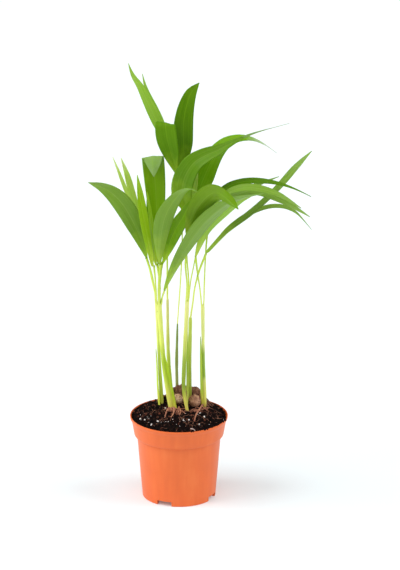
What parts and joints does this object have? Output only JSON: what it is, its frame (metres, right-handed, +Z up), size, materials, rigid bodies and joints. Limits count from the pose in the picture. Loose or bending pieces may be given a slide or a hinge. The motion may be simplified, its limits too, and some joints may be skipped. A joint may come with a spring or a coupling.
{
  "type": "potted palm",
  "caption": "Young palm seedlings with long arching split leaves, standing in soil in a terracotta-coloured plastic nursery pot.",
  "frame": {"origin": "middle of the pot's underside, on the flat pad in the middle of its floor", "axes": "+Z up along the pot's axis, -Y towards the front, +X to the right, the way most of the leaves lean"},
  "size_m": [0.2712, 0.1638, 0.5381],
  "materials": {
    "terracotta_plastic": "moulded, satin",
    "soil": "damp, crumbly potting soil",
    "seed_husk": "dry and fibrous",
    "root": "dry",
    "stem": "smooth living stem, waxy",
    "dry_scale": "papery dry leaf base",
    "petiole": "smooth living stem, waxy",
    "leaf": "living leaf, satin",
    "young_leaf": "young living leaf, satin"
  },
  "bodies": {
    "root": {"pot": "terracotta_plastic", "soil": "soil", "seed_1": "seed_husk", "seed_2": "seed_husk", "seed_3": "seed_husk", "root_1": "root", "root_2": "root", "root_3": "root", "root_4": "root", "stem_1": "stem", "stem_2": "stem", "stem_3": "stem", "stem_4": "stem", "stem_5": "stem", "stem_6": "stem", "stem_7": "stem", "scale_leaf_1": "dry_scale", "scale_leaf_2": "dry_scale", "scale_leaf_3": "dry_scale", "scale_leaf_4": "dry_scale", "leaf_01_petiole": "petiole", "leaf_01_left_lobe": "leaf", "leaf_01_right_lobe": "leaf", "leaf_02_petiole": "petiole", "leaf_02_left_lobe": "leaf", "leaf_02_right_lobe": "leaf", "leaf_03_petiole": "petiole", "leaf_03_left_lobe": "leaf", "leaf_03_right_lobe": "leaf", "leaf_04_petiole": "petiole", "leaf_04_left_lobe": "leaf", "leaf_04_right_lobe": "leaf", "leaf_05_petiole": "petiole", "leaf_05_blade": "leaf", "leaf_06_petiole": "petiole", "leaf_06_left_lobe": "young_leaf", "leaf_06_right_lobe": "young_leaf", "leaf_07_petiole": "petiole", "leaf_07_left_lobe": "young_leaf", "leaf_07_right_lobe": "young_leaf", "leaf_08_petiole": "petiole", "leaf_08_left_lobe": "leaf", "leaf_08_right_lobe": "leaf", "leaf_09_petiole": "petiole", "leaf_09_blade": "leaf", "leaf_10_petiole": "petiole", "leaf_10_blade": "leaf", "leaf_11_petiole": "petiole", "leaf_11_blade": "leaf", "leaf_12_petiole": "petiole", "leaf_12_upper_lobe": "leaf", "leaf_12_lower_lobe": "leaf", "leaf_13_petiole": "petiole", "leaf_13_upper_lobe": "leaf", "leaf_13_lower_lobe": "leaf", "leaf_14_petiole": "petiole", "leaf_14_upper_lobe": "leaf", "leaf_14_lower_lobe": "leaf", "unopened_leaf": "young_leaf"}
  },
  "joints": []
}
